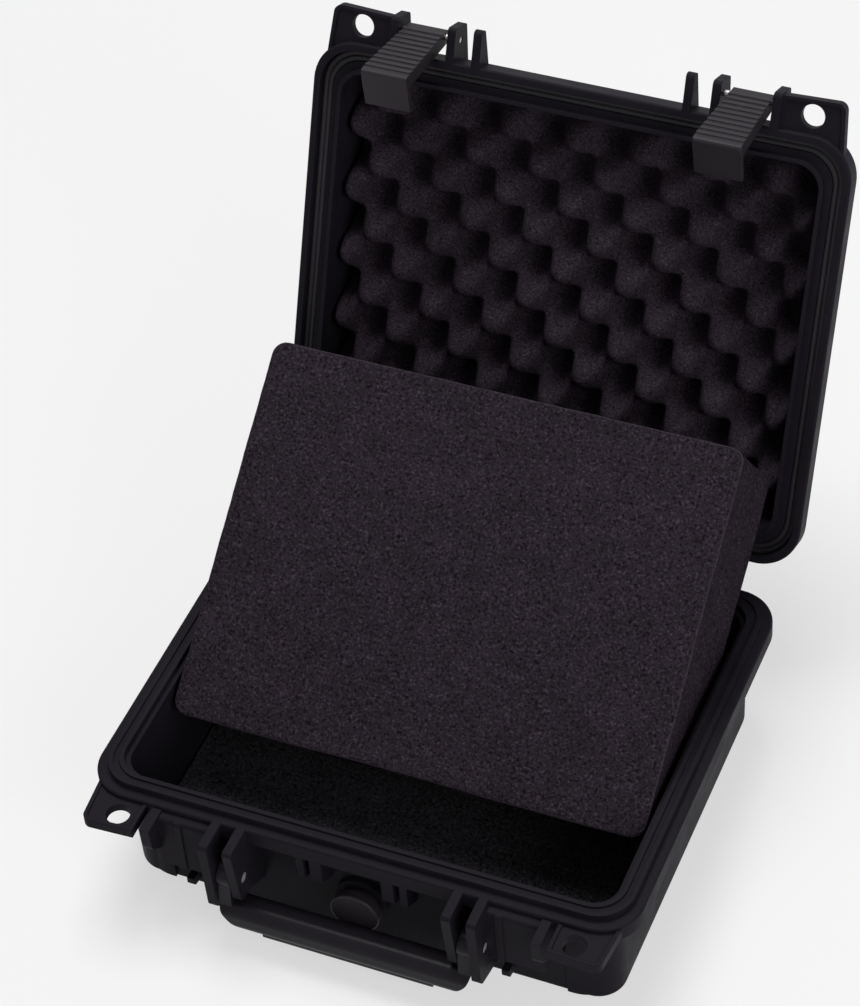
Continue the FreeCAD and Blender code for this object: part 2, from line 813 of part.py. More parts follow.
def make_floor_pad():
    """Foam sheet on the floor of the base."""
    inset = cavity_inset + wall_draft_inset + pad_edge_clearance
    shoulder = floor_thickness + inner_edge_round
    foot = prism(inset + inner_edge_round, floor_thickness, shoulder)
    return foot.fuse(prism(inset, shoulder, floor_thickness + pad_thickness)).removeSplitter()


def make_foam_block():
    """Thick foam block, stood on its heel edge and leaned back out of the base."""
    pad_top = floor_thickness + pad_thickness
    thickness = rim_z + lid_foam_tip_up - pad_top - 2 * soft_clearance
    inset = cavity_inset + wall_draft_inset + block_side_clearance
    width = flange_width - 2 * inset
    length = flange_depth - 2 * inset
    heel_y = back_y - block_heel_from_back
    heel_z = pad_top + soft_clearance
    block = Part.makeBox(width, length, thickness, FreeCAD.Vector(-half * width, heel_y, heel_z))
    block = block.makeFillet(block_round, block.Edges)
    block.rotate(FreeCAD.Vector(0, heel_y, heel_z), x_axis, block_lean_angle)
    lift = heel_z - block.BoundBox.ZMin
    block.translate(z_axis * lift)
    return block


def open_up(shape):
    """Turn a lid piece from the shut attitude to the open rest pose."""
    turned = shape.copy()
    turned.rotate(FreeCAD.Vector(0, hinge_y, hinge_z), x_axis, -lid_open_angle)
    return turned


def hang(shape):
    """Swing a latch inward to where it hangs."""
    y, z = front_point(latch_axis_forward, latch_axis_up)
    turned = shape.copy()
    turned.rotate(FreeCAD.Vector(0, y, z), x_axis, latch_hang_angle)
    return turned


def make_parts():
    """Every node of the case in its rest pose, by name."""
    parts = {
        "base_shell": make_base_shell(),
        "floor_pad": make_floor_pad(),
        "handle": make_handle(),
        "lid_shell": open_up(make_lid_shell()),
        "lid_gasket": open_up(make_gasket()),
        "lid_foam": open_up(make_lid_foam()),
        "foam_block": make_foam_block(),
    }
    parts.update(make_valve())
    for side, name in zip(sides, ("left", "right")):
        parts["handle_pin_" + name] = make_handle_pin(side)
        parts["hinge_pin_" + name] = make_hinge_pin(side)
        parts["latch_pin_" + name] = open_up(latch_pin_bar(side, latch_pin_radius, -pin_end_recess))
        parts["latch_" + name] = open_up(hang(make_latch(side)))
    return parts


os.makedirs("parts", exist_ok=True)
for name, shape in make_parts().items():
    shape.exportStep("parts/" + name + ".step")
    print(name, len(shape.Solids), shape.isValid(), round(shape.Volume), shape.BoundBox)
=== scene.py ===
"""Looks of a small hard case that stands open with its foam block leaning out of it."""

from __future__ import annotations

import json
import logging
import math
from dataclasses import dataclass, field
from enum import Enum

import bpy
import numpy as np
from mathutils import Matrix, Vector


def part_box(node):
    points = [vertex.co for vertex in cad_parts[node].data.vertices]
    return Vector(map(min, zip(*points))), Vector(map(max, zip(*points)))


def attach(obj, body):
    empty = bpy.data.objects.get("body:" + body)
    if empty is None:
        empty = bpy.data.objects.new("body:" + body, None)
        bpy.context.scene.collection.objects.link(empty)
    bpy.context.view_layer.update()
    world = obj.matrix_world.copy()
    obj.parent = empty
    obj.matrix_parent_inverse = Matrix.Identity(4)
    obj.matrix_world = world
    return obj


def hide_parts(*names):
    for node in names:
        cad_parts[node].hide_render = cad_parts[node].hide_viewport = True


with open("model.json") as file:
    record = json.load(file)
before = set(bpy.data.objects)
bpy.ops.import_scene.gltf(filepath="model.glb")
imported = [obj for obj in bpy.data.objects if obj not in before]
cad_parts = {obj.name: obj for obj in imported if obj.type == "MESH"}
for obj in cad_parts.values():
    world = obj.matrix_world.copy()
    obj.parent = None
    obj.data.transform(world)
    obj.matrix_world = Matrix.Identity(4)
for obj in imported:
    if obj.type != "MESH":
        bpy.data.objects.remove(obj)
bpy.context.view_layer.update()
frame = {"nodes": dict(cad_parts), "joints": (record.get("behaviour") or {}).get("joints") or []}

LOG = logging.getLogger("hard_case")
MM = 0.001
TINY = 1e-9  # the least length that is divided by
X_AXIS = Vector((1.0, 0.0, 0.0))
# Point attribute that carries the painted highlight along the foam's cut edges.
EDGE_HIGHLIGHT_ATTRIBUTE = "painted_edge_highlight"  # point attribute, from 0 inside a face to 1 on a cut edge

Colour = tuple[float, float, float]
Place = tuple[float, float, float]


class Slot(Enum):
    """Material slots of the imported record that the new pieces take."""

    FOAM = "foam"


class Body(Enum):
    """Bodies that the new pieces ride on."""

    BASE = "base"
    LID = "lid"
    BLOCK = "foam_block"


def joint_row(name: str) -> dict:
    """What the frame says of a joint.

    Args:
        name: The joint's name in the record.

    Returns:
        The joint's row.
    """
    for row in frame["joints"]:
        if row["name"] == name:
            return row
    raise ValueError(name)


def joint_place(name: str) -> Vector:
    """A joint's point in the frame.

    Args:
        name: The joint's name in the record.

    Returns:
        Its position in metres.
    """
    return Vector(joint_row(name)["pos_m"])


def joint_range(name: str) -> tuple[float, float]:
    """A joint's limits.

    Args:
        name: The joint's name in the record.

    Returns:
        Its lower and upper limit in radians.
    """
    low, high = joint_row(name)["range_deg"]
    return math.radians(low), math.radians(high)


def node_points(name: str) -> np.ndarray:
    """The vertices of a CAD node.

    Args:
        name: The node's name.

    Returns:
        An array of points, one row each, in metres.
    """
    mesh = frame["nodes"][name].data
    points = np.zeros(len(mesh.vertices) * 3, dtype=np.float32)
    mesh.vertices.foreach_get("co", points)
    return points.reshape(-1, 3).astype(float)


def moved(points: np.ndarray, move: Matrix) -> np.ndarray:
    """Turn and shift points.

    Args:
        points: Places, one row each.
        move: The turn and shift.

    Returns:
        The new places, one row each.
    """
    return points @ np.array(move.to_3x3()).T + np.array(move.translation)


def unit_rows(rows: np.ndarray) -> np.ndarray:
    """Scale each row to a length of one.

    Args:
        rows: Directions, one row each.

    Returns:
        The unit directions, one row each.
    """
    return rows / np.maximum(np.linalg.norm(rows, axis=1), TINY)[:, None]


@dataclass(frozen=True)
class ShaderKit:
    """Short ways to add nodes to one material."""

    material: bpy.types.Material

    @classmethod
    def start(cls, name: str) -> ShaderKit:
        """Make a new material, which has one shader and its output.

        Args:
            name: The material's name.
        """
        material = bpy.data.materials.new(name)
        material.use_nodes = True
        return cls(material)

    @property
    def shader(self) -> bpy.types.Node:
        """The main shader node."""
        return self.material.node_tree.nodes["Principled BSDF"]

    def add(self, kind: str, **values: object) -> bpy.types.Node:
        """Add one node.

        Args:
            kind: The node type's name.
            values: Attributes to set, or inputs by name where the node has no such attribute.

        Returns:
            The new node.
        """
        node = self.material.node_tree.nodes.new(kind)
        for key, value in values.items():
            if hasattr(node, key):
                setattr(node, key, value)
            else:
                node.inputs[key.replace("_", " ")].default_value = value
        return node

    def link(self, source: bpy.types.NodeSocket, target: bpy.types.NodeSocket) -> None:
        """Join two sockets.

        Args:
            source: The output.
            target: The input that it feeds.
        """
        self.material.node_tree.links.new(source, target)

    def noise(self, scale: float, detail: float, roughness: float = 0.6) -> bpy.types.Node:
        """Noise on the piece's own coordinates.

        Args:
            scale: Waves in a metre.
            detail: How many finer layers are added.
            roughness: How strong the finer layers are.

        Returns:
            The noise node.
        """
        place = self.add("ShaderNodeTexCoord")
        node = self.add("ShaderNodeTexNoise", Scale=scale, Detail=detail, Roughness=roughness)
        self.link(place.outputs["Object"], node.inputs["Vector"])
        return node

    def ramp(
        self, source: bpy.types.NodeSocket, stops: list[tuple[float, Colour]]
    ) -> bpy.types.Node:
        """Colours spread over a value.

        Args:
            source: The value's socket.
            stops: Places and their colours, in order.

        Returns:
            The colour ramp node.
        """
        node = self.add("ShaderNodeValToRGB")
        elements = node.color_ramp.elements
        while len(elements) < len(stops):
            elements.new(1.0)
        for element, (place, colour) in zip(elements, stops):
            element.position = place
            element.color = (*colour, 1.0)
        self.link(source, node.inputs["Fac"])
        return node

    def scaled(self, source: bpy.types.NodeSocket, factor: float) -> bpy.types.NodeSocket:
        """Multiply a value by a number.

        Args:
            source: The value's socket.
            factor: The number.

        Returns:
            The product's socket.
        """
        node = self.add("ShaderNodeMath", operation="MULTIPLY")
        self.link(source, node.inputs[0])
        node.inputs[1].default_value = factor
        return node.outputs["Value"]

    def bump(
        self,
        height: bpy.types.NodeSocket,
        distance: float,
        strength: float,
        under: bpy.types.NodeSocket | None = None,
    ) -> bpy.types.Node:
        """Fine relief.

        Args:
            height: The height's socket.
            distance: How tall a height of one is, in metres.
            strength: The share of it that is used.
            under: A normal that this relief is laid over.

        Returns:
            The bump node.
        """
        node = self.add("ShaderNodeBump", Strength=strength, Distance=distance)
        self.link(height, node.inputs["Height"])
        if under is not None:
            self.link(under, node.inputs["Normal"])
        return node


@dataclass(frozen=True)
class MouldedPlastic:
    """Fine-grained moulded plastic with softened edges and slight handling sheen."""

    name: str
    dark: Colour = (0.0112, 0.0096, 0.0133)
    pale: Colour = (0.0148, 0.0127, 0.0175)
    roughness_low: float = 0.4
    roughness_high: float = 0.56
    grain_scale: float = 1500.0
    grain_detail: float = 3.0
    grain_height: float = 0.00012
    grain_strength: float = 0.25
    cloud_scale: float = 38.0
    cloud_detail: float = 5.0
    colour_span: tuple[float, float] = (0.3, 0.72)
    sheen_span: tuple[float, float] = (0.3, 0.7)
    edge_radius: float = 0.0006
    edge_samples: int = 4
    specular: float = 0.036

    def make(self) -> bpy.types.Material:
        """Build the material.

        Returns:
            The new material.
        """
        kit = ShaderKit.start(self.name)
        cloud = kit.noise(self.cloud_scale, self.cloud_detail)
        stops = list(zip(self.colour_span, (self.dark, self.pale)))
        colour = kit.ramp(cloud.outputs["Fac"], stops)
        kit.link(colour.outputs["Color"], kit.shader.inputs["Base Color"])
        sheen = kit.add(
            "ShaderNodeMapRange",
            From_Min=self.sheen_span[0],
            From_Max=self.sheen_span[1],
            To_Min=self.roughness_low,
            To_Max=self.roughness_high,
        )
        kit.link(cloud.outputs["Fac"], sheen.inputs["Value"])
        kit.link(sheen.outputs["Result"], kit.shader.inputs["Roughness"])
        grain = kit.noise(self.grain_scale, self.grain_detail)
        soften = kit.add("ShaderNodeBevel", samples=self.edge_samples, Radius=self.edge_radius)
        relief = kit.bump(
            grain.outputs["Fac"], self.grain_height, self.grain_strength, soften.outputs["Normal"]
        )
        kit.link(relief.outputs["Normal"], kit.shader.inputs["Normal"])
        kit.shader.inputs["Specular IOR Level"].default_value = self.specular
        return kit.material


@dataclass(frozen=True)
class OpenCellFoam:
    """Charcoal foam whose cut cells show as dark pores and paler fibres."""

    name: str
    pore: Colour = (0.009, 0.0065, 0.0095)
    body: Colour = (0.0262, 0.0198, 0.0275)
    fibre: Colour = (0.062, 0.05, 0.065)
    cell_scale: float = 760.0
    cell_detail: float = 3.0
    cell_roughness: float = 0.7
    cell_stops: tuple[float, ...] = (0.37, 0.47, 0.56, 0.67)
    cell_height: float = 0.0008
    cell_strength: float = 0.7
    cloud_scale: float = 60.0
    cloud_detail: float = 4.0
    cloud_roughness: float = 0.75
    cloud_span: tuple[float, float] = (0.3, 0.7)
    cloud_share: float = 0.16
    roughness: float = 0.95
    # Share of the paler fibre colour that is painted along cut edges as a highlight.
    edge_highlight_share: float = 0.55

    def grain(self, kit: ShaderKit, cells: bpy.types.Node) -> bpy.types.NodeSocket:
        """Pores and fibres, under broad and faint clouds.

        Args:
            kit: The material's kit.
            cells: The noise of the cells.

        Returns:
            The colour's socket.
        """
        colours = (self.pore, self.body, self.body, self.fibre)
        fine = kit.ramp(cells.outputs["Fac"], list(zip(self.cell_stops, colours)))
        cloud = kit.noise(self.cloud_scale, self.cloud_detail, self.cloud_roughness)
        shades = ((1.0 - self.cloud_share,) * 3, (1.0 + self.cloud_share,) * 3)
        broad = kit.ramp(cloud.outputs["Fac"], list(zip(self.cloud_span, shades)))
        mix = kit.add("ShaderNodeMix", data_type="RGBA", blend_type="MULTIPLY")
        mix.inputs["Factor"].default_value = 1.0
        kit.link(fine.outputs["Color"], mix.inputs["A"])
        kit.link(broad.outputs["Color"], mix.inputs["B"])
        return mix.outputs["Result"]

    def make(self) -> bpy.types.Material:
        """Build the material, with a painted highlight: paler fibre colour where a piece's
        attribute says that a cut edge is near.

        Returns:
            The new material.
        """
        kit = ShaderKit.start(self.name)
        cells = kit.noise(self.cell_scale, self.cell_detail, self.cell_roughness)
        grain = self.grain(kit, cells)
        # Painted highlight: the fibre colour is mixed in along cut edges, where the edge would
        # catch the light.
        near = kit.add("ShaderNodeAttribute", attribute_name=EDGE_HIGHLIGHT_ATTRIBUTE)
        share = kit.scaled(near.outputs["Fac"], self.edge_highlight_share)
        edge = kit.add("ShaderNodeMix", data_type="RGBA")
        kit.link(share, edge.inputs["Factor"])
        kit.link(grain, edge.inputs["A"])
        edge.inputs["B"].default_value = (*self.fibre, 1.0)
        kit.link(edge.outputs["Result"], kit.shader.inputs["Base Color"])
        relief = kit.bump(cells.outputs["Fac"], self.cell_height, self.cell_strength)
        kit.link(relief.outputs["Normal"], kit.shader.inputs["Normal"])
        kit.shader.inputs["Roughness"].default_value = self.roughness
        kit.shader.inputs["Specular IOR Level"].default_value = 0.0
        return kit.material


@dataclass(frozen=True)
class TurnedSteel:
    """Bright steel with fine turning marks."""

    name: str
    colour: Colour = (0.82, 0.81, 0.8)
    worn: Colour = (0.62, 0.61, 0.6)
    roughness: float = 0.5
    mark_scale: float = 900.0
    mark_detail: float = 4.0
    mark_span: tuple[float, float] = (0.35, 0.6)
    mark_height: float = 0.00005
    mark_strength: float = 0.3

    def make(self) -> bpy.types.Material:
        """Build the material.

        Returns:
            The new material.
        """
        kit = ShaderKit.start(self.name)
        marks = kit.noise(self.mark_scale, self.mark_detail)
        stops = list(zip(self.mark_span, (self.worn, self.colour)))
        colour = kit.ramp(marks.outputs["Fac"], stops)
        kit.link(colour.outputs["Color"], kit.shader.inputs["Base Color"])
        relief = kit.bump(marks.outputs["Fac"], self.mark_height, self.mark_strength)
        kit.link(relief.outputs["Normal"], kit.shader.inputs["Normal"])
        kit.shader.inputs["Metallic"].default_value = 1.0
        kit.shader.inputs["Roughness"].default_value = self.roughness
        return kit.material


def put_mesh(
    name: str, points: np.ndarray, quads: np.ndarray, smooth: bool = True
) -> bpy.types.Object:
    """Make a mesh object from arrays.

    Args:
        name: The piece's name.
        points: Vertices, one row each, in metres.
        quads: Four corner numbers a row.
        smooth: Whether the faces are shaded smooth.

    Returns:
        The linked object, at the origin.
    """
    mesh = bpy.data.meshes.new(name)
    mesh.vertices.add(len(points))
    mesh.vertices.foreach_set("co", points.astype(np.float32).ravel())
    mesh.loops.add(quads.size)
    mesh.loops.foreach_set("vertex_index", quads.astype(np.int32).ravel())
    mesh.polygons.add(len(quads))
    mesh.polygons.foreach_set("loop_start", np.arange(0, quads.size, 4, dtype=np.int32))
    mesh.update(calc_edges=True)
    mesh.validate()
    mesh.polygons.foreach_set("use_smooth", np.full(len(mesh.polygons), smooth))
    piece = bpy.data.objects.new(name, mesh)
    bpy.context.scene.collection.objects.link(piece)
    return piece


def grid_faces(rows: int, columns: int) -> np.ndarray:
    """Quads of a grid whose points are numbered row by row.

    Args:
        rows: Points along the first parameter.
        columns: Points along the second parameter.

    Returns:
        Four corner numbers a row.
    """
    index = np.arange(rows * columns).reshape(rows, columns)
    corners = (index[:-1, :-1], index[1:, :-1], index[1:, 1:], index[:-1, 1:])
    return np.stack([corner.ravel() for corner in corners], axis=1)


def weld(points: np.ndarray, quads: np.ndarray, step: float) -> tuple[np.ndarray, np.ndarray]:
    """Merge points that lie on the same place.

    Args:
        points: Vertices, one row each.
        quads: Four corner numbers a row.
        step: Places nearer than this are one.

    Returns:
        The kept points and the renumbered quads.
    """
    keys = np.round(points / step).astype(np.int64)
    _, first, inverse = np.unique(keys, axis=0, return_index=True, return_inverse=True)
    return points[first], inverse.ravel()[quads]


def box_grid(half: np.ndarray, pitch: float, rim: float = 0.0) -> tuple[np.ndarray, np.ndarray]:
    """Closed surface of a box, cut into a grid.

    Each of the six sides is a plane grid over two of the three coordinates. The sides share their
    rims.

    Args:
        half: Half sizes along X, Y and Z.
        pitch: About how wide one quad is.
        rim: Width of one narrow row along every edge, or zero for none.

    Returns:
        The points and the quads.
    """
    counts = np.maximum(np.ceil(2 * half / pitch).astype(int), 2)
    lines = [np.linspace(-half[k], half[k], counts[k] + 1) for k in range(3)]
    if rim > 0:
        lines = [np.unique(np.append(line, (line[0] + rim, line[-1] - rim))) for line in lines]
    points: list[np.ndarray] = []
    quads: list[np.ndarray] = []
    start = 0
    for k in range(3):
        u, v = (k + 1) % 3, (k + 2) % 3
        for sign in (-1.0, 1.0):
            first, second = np.meshgrid(lines[u], lines[v], indexing="ij")
            side = np.zeros((first.size, 3))
            side[:, k] = sign * half[k]
            side[:, u] = first.ravel()
            side[:, v] = second.ravel()
            faces = grid_faces(len(lines[u]), len(lines[v])) + start
            quads.append(faces if sign > 0 else faces[:, ::-1])
            points.append(side)
            start += len(side)
    return weld(np.concatenate(points), np.concatenate(quads), pitch * 1e-3)


def round_uprights(
    points: np.ndarray, half: np.ndarray, corner: float
) -> tuple[np.ndarray, np.ndarray]:
    """Round the upright corners of a box.

    A point is pulled towards the inner box that is smaller by the rounding, so that the squares
    around the inner box become rings.

    Args:
        points: Points of the box about its middle, one row each. Their X and Y are changed.
        half: Half sizes of the box.
        corner: Radius of the rounding.

    Returns:
        For each point the level direction away from the inner box, and the distance from it.
    """
    inner = half[:2] - corner
    core = np.clip(points[:, :2], -inner, inner)
    away = points[:, :2] - core
    reach = np.linalg.norm(away, axis=1)
    ring = np.abs(away).max(axis=1)
    share = np.where(reach > TINY, ring / np.maximum(reach, TINY), 1.0)
    points[:, :2] = core + away * share[:, None]
    return unit_rows(away), ring


def soft_noise(
    points: np.ndarray,
    wave: float,
    seed: int,
    layers: int = 3,
    directions_a_layer: int = 7,
    fade: float = 0.6,
    gain: float = 2.0,
) -> np.ndarray:
    """Smooth, repeatable unevenness: a sum of sine waves in many directions.

    Args:
        points: Places to read it at, one row each.
        wave: Length of the longest wave.
        seed: Picks the directions and phases.
        layers: How many layers there are, each with half the wave of the one before.
        directions_a_layer: How many waves one layer has.
        fade: Strength of a layer beside the one before.
        gain: Brings the mean of many waves back to about one.

    Returns:
        One value a point, mostly between -1 and 1.
    """
    rng = np.random.default_rng(seed)
    total = np.zeros(len(points))
    weight = 0.0
    for layer in range(layers):
        strength = fade**layer
        length = wave * 0.5**layer
        directions = rng.normal(size=(directions_a_layer, 3))
        directions /= np.linalg.norm(directions, axis=1)[:, None]
        phases = rng.uniform(0, 2 * math.pi, directions_a_layer)
        waves = np.sin(points @ directions.T * (2 * math.pi / length) + phases)
        total += strength * waves.mean(axis=1)
        weight += strength
    return total / weight * gain


@dataclass
class FoamSlab:
    """A cut slab of foam: a box with rounded corners, drawn-in sides and an uneven skin."""

    name: str
    node: str
    body: Body
    half: Place
    place: Matrix
    corner: float = 7.0 * MM
    edge: float = 1.2 * MM
    pitch: float = 2.4 * MM
    rim: float = 0.9 * MM
    draw_in: float = 0.8 * MM
    uneven: float = 0.45 * MM
    uneven_wave: float = 90.0 * MM
    fuzz: float = 0.12 * MM
    fuzz_wave: float = 9.0 * MM
    fuzz_layers: int = 2
    seed: int = 3
    fill: float = 0.85

    def surface(self) -> tuple[np.ndarray, np.ndarray, np.ndarray]:
        """The slab about its own middle, before its skin is made uneven.

        The upright corners have a wide rounding, the level edges a narrow one. The sides are drawn
        in at half height.

        Returns:
            The points, the quads, and for each point how near it is to a cut edge.
        """
        half = np.array(self.half)
        points, quads = box_grid(half, self.pitch, self.rim)
        direction, ring = round_uprights(points, half, self.corner)
        level = np.abs(points[:, 2])
        up = np.maximum(self.edge - (half[2] - level), 0.0)
        side = np.clip(self.edge - (self.corner - ring), 0.0, self.edge)
        on_edge = (up > 0) & (side > 0)
        length = np.maximum(np.hypot(up, side), TINY)
        lost = 1.0 - np.where(on_edge, np.maximum(up, side) / length, 1.0)
        points[:, :2] -= direction * (side * lost)[:, None]
        points[:, 2] -= np.sign(points[:, 2]) * up * lost
        depth = np.minimum(ring / self.corner, 1.0)
        waist = 1.0 - (points[:, 2] / half[2]) ** 2
        points[:, :2] -= direction * (depth * waist * self.draw_in)[:, None]
        # Mask of the painted edge highlight: one on a cut edge, fading to zero over the rim width.
        from_edge = np.maximum(self.corner - ring, half[2] - level)
        return points, quads, np.clip(1.0 - from_edge / self.rim, 0.0, 1.0)

    def swell(self, points: np.ndarray) -> np.ndarray:
        """How far each point of the skin stands out, which is never past the plain slab by much.

        Args:
            points: Points of the plain slab, one row each.

        Returns:
            A distance a point, mostly below zero.
        """
        broad = soft_noise(points, self.uneven_wave, self.seed) * self.uneven
        fine = soft_noise(points, self.fuzz_wave, self.seed + 1, self.fuzz_layers) * self.fuzz
        return broad + fine - self.uneven

    def build(self, material: bpy.types.Material) -> bpy.types.Object:
        """Make the slab, dress it and hand it to the frame.

        Args:
            material: Its foam material.

        Returns:
            The finished piece.
        """
        points, quads, edge_highlight_share = self.surface()
        points = points + unit_rows(points) * self.swell(points)[:, None]
        piece = put_mesh(self.name, moved(points, self.place), quads)
        # The mask of the painted edge highlight goes on the points as an attribute.
        attribute = piece.data.attributes.new(EDGE_HIGHLIGHT_ATTRIBUTE, "FLOAT", "POINT")
        attribute.data.foreach_set("value", edge_highlight_share)
        piece.data.materials.append(material)
        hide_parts(self.node)
        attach(piece, self.body.value)
        LOG.info("%s: %d quads", self.name, len(quads))
        return piece


@dataclass
class WaveFoam:
    """Wave-topped foam sheet of the lid, with its peaks on a checkerboard."""

    name: str = "lid_wave_foam"
    node: str = "lid_foam"
    half_wave_x: float = 15.9 * MM
    half_wave_y: float = 16.2 * MM
    phase_x: float = 13.4 * MM
    phase_y: float = 1.2 * MM
    pitch: float = 1.7 * MM
    corner: float = 9.0 * MM
    gap: float = 0.2 * MM
    sheet: float = 14.0 * MM
    side_power_x: float = 0.65
    side_power_y: float = 0.85
    sag: float = 5.0 * MM
    sag_margin: float = 9.0 * MM
    tip_uneven: float = 0.6 * MM
    tip_wave: float = 60.0 * MM
    edge_round: float = 3.0 * MM
    edge_loss: float = 0.15
    seed: int = 11
    fill: float = 0.9

    def shut_box(self) -> tuple[np.ndarray, np.ndarray, Matrix]:
        """The CAD sheet's box in the shut attitude.

        Returns:
            The box's low and high corners, and the turn that opens it.
        """
        _, shut_angle = joint_range("lid_hinge")
        axis_point = joint_place("lid_hinge")
        there = Matrix.Translation(axis_point)
        back = Matrix.Translation(-axis_point)
        close = there @ Matrix.Rotation(shut_angle, 4, X_AXIS) @ back
        turned = moved(node_points(self.node), close)
        return turned.min(axis=0), turned.max(axis=0), close.inverted()

    def wave(self, points: np.ndarray) -> np.ndarray:
        """Height of the waves: a cosine along X times one along Y, with steepened sides.

        Args:
            points: Places on the sheet about its middle, one row each.

        Returns:
            One value a point, from 0 in a valley to 1 on a peak.
        """
        wave_x = np.cos(math.pi * (points[:, 0] - self.phase_x) / self.half_wave_x)
        wave_y = np.cos(math.pi * (points[:, 1] - self.phase_y) / self.half_wave_y)
        steep = np.abs(wave_x) ** self.side_power_x * np.abs(wave_y) ** self.side_power_y
        return 0.5 + 0.5 * np.sign(wave_x * wave_y) * steep

    def build(self, material: bpy.types.Material) -> bpy.types.Object:
        """Make the sheet: a waved face, a flat back and a skirt between them.

        The peaks sag towards the hinge, the more the taller they are.

        Args:
            material: Its foam material.

        Returns:
            The finished piece.
        """
        low, high, opening = self.shut_box()
        low = low + self.gap
        high = high - self.gap
        half = 0.5 * (high - low)
        points, quads = box_grid(half, self.pitch)
        share = (half[2] - points[:, 2]) / (2 * half[2])
        wave = self.wave(points)
        relief = 2 * half[2] - self.sheet
        rim = np.minimum(half[0] - np.abs(points[:, 0]), half[1] - np.abs(points[:, 1]))
        roll = 1.0 - np.clip(1.0 - rim / self.edge_round, 0.0, 1.0) ** 2 * self.edge_loss
        uneven = soft_noise(points, self.tip_wave, self.seed) * self.tip_uneven - self.tip_uneven
        thickness = (self.sheet + relief * wave) * roll + uneven
        points[:, 2] = half[2] - share * thickness
        points[:, 1] += self.sag * share * wave * np.clip(rim / self.sag_margin, 0.0, 1.0)
        round_uprights(points, half, self.corner)
        points = points + 0.5 * (low + high)
        piece = put_mesh(self.name, moved(points, opening), quads)
        piece.data.materials.append(material)
        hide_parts(self.node)
        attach(piece, Body.LID.value)
        LOG.info("%s: %d quads", self.name, len(quads))
        return piece


@dataclass
class FoamLining:
    """The three foam pieces of the case."""

    lean: float = field(default_factory=lambda: -joint_range("foam_block_tip")[0])
    block_foam: OpenCellFoam = OpenCellFoam("charcoal_block_foam")
    pad_foam: OpenCellFoam = OpenCellFoam(
        "dark_pad_foam",
        body=(0.036, 0.0336, 0.0384),
        fibre=(0.08, 0.0755, 0.084),
    )
    wave_foam: OpenCellFoam = OpenCellFoam(
        "charcoal_wave_foam",
        pore=(0.011, 0.0084, 0.0116),
        body=(0.0295, 0.0228, 0.0308),
        fibre=(0.06, 0.049, 0.063),
        cell_scale=950.0,
        cell_strength=0.4,
    )

    def block_place(self) -> tuple[Matrix, Place]:
        """Read the leaning block from its CAD solid.

        Returns:
            Where the block lies, and its half sizes.
        """
        flat = Matrix.Rotation(-self.lean, 4, X_AXIS)
        turned = moved(node_points("foam_block"), flat)
        low, high = turned.min(axis=0), turned.max(axis=0)
        middle = Matrix.Translation(Vector(0.5 * (low + high)))
        return flat.inverted() @ middle, tuple(0.5 * (high - low))

    def build(self) -> None:
        """Make and dress the block, the floor pad and the lid's sheet."""
        place, half = self.block_place()
        block = FoamSlab("leaning_foam_block", "foam_block", Body.BLOCK, half, place)
        block.build(self.block_foam.make())
        low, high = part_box("floor_pad")
        pad = FoamSlab(
            "floor_foam_pad",
            "floor_pad",
            Body.BASE,
            tuple(0.5 * (high - low)),
            Matrix.Translation(0.5 * (low + high)),
            corner=9.0 * MM,
            draw_in=0.0,
            uneven=0.25 * MM,
            seed=7,
        )
        pad.build(self.pad_foam.make())
        WaveFoam().build(self.wave_foam.make())


@dataclass
class HardParts:
    """Finishes of the moulded, turned and rubber pieces."""

    shells: tuple[str, ...] = ("base_shell", "lid_shell")
    grips: tuple[str, ...] = ("handle",)
    mouldings: tuple[str, ...] = (
        "latch_left",
        "latch_right",
        "valve_knob",
        "valve_bush",
        "valve_nut",
    )
    steel: tuple[str, ...] = (
        "handle_pin_left",
        "handle_pin_right",
        "hinge_pin_left",
        "hinge_pin_right",
        "latch_pin_left",
        "latch_pin_right",
    )
    rubber: tuple[str, ...] = ("lid_gasket", "valve_seal", "knob_seal")

    def dress(self) -> None:
        """Give every hard node its material."""
        shell = MouldedPlastic("black_shell_plastic").make()
        moulding = MouldedPlastic(
            "black_latch_plastic",
            dark=(0.0188, 0.0155, 0.0201),
            pale=(0.0242, 0.02, 0.0259),
            roughness_low=0.34,
            roughness_high=0.5,
            edge_radius=0.0005,
            specular=0.16,
        ).make()
        grip = MouldedPlastic(
            "black_handle_plastic",
            dark=(0.0105, 0.0089, 0.0121),
            pale=(0.0138, 0.0117, 0.0158),
            roughness_low=0.3,
            roughness_high=0.36,
            grain_strength=0.06,
            edge_radius=0.0005,
            specular=0.1,
        ).make()
        rubber = MouldedPlastic(
            "black_seal_rubber",
            dark=(0.0155, 0.0138, 0.0162),
            pale=(0.024, 0.0216, 0.0252),
            roughness_high=0.55,
            specular=0.18,
        ).make()
        steel = TurnedSteel("turned_steel_pin").make()
        for names, material in (
            (self.shells, shell),
            (self.grips, grip),
            (self.mouldings, moulding),
            (self.steel, steel),
            (self.rubber, rubber),
        ):
            for name in names:
                piece = frame["nodes"][name]
                piece.data.materials.clear()
                piece.data.materials.append(material)
                LOG.info("%s dressed with %s", name, material.name)


def rays_value(tree: bpy.types.NodeTree, rays: tuple[str, ...]) -> bpy.types.NodeSocket:
    """Add a value that is one for some kinds of ray and zero for the others.

    Args:
        tree: The nodes that it is added to.
        rays: The kinds, as the outputs of the Light Path node are named.

    Returns:
        The value's socket.
    """
    path = tree.nodes.new("ShaderNodeLightPath")
    value = path.outputs[rays[0]]
    for ray in rays[1:]:
        either = tree.nodes.new("ShaderNodeMath")
        either.operation = "MAXIMUM"
        tree.links.new(value, either.inputs[0])
        tree.links.new(path.outputs[ray], either.inputs[1])
        value = either.outputs["Value"]
    return value


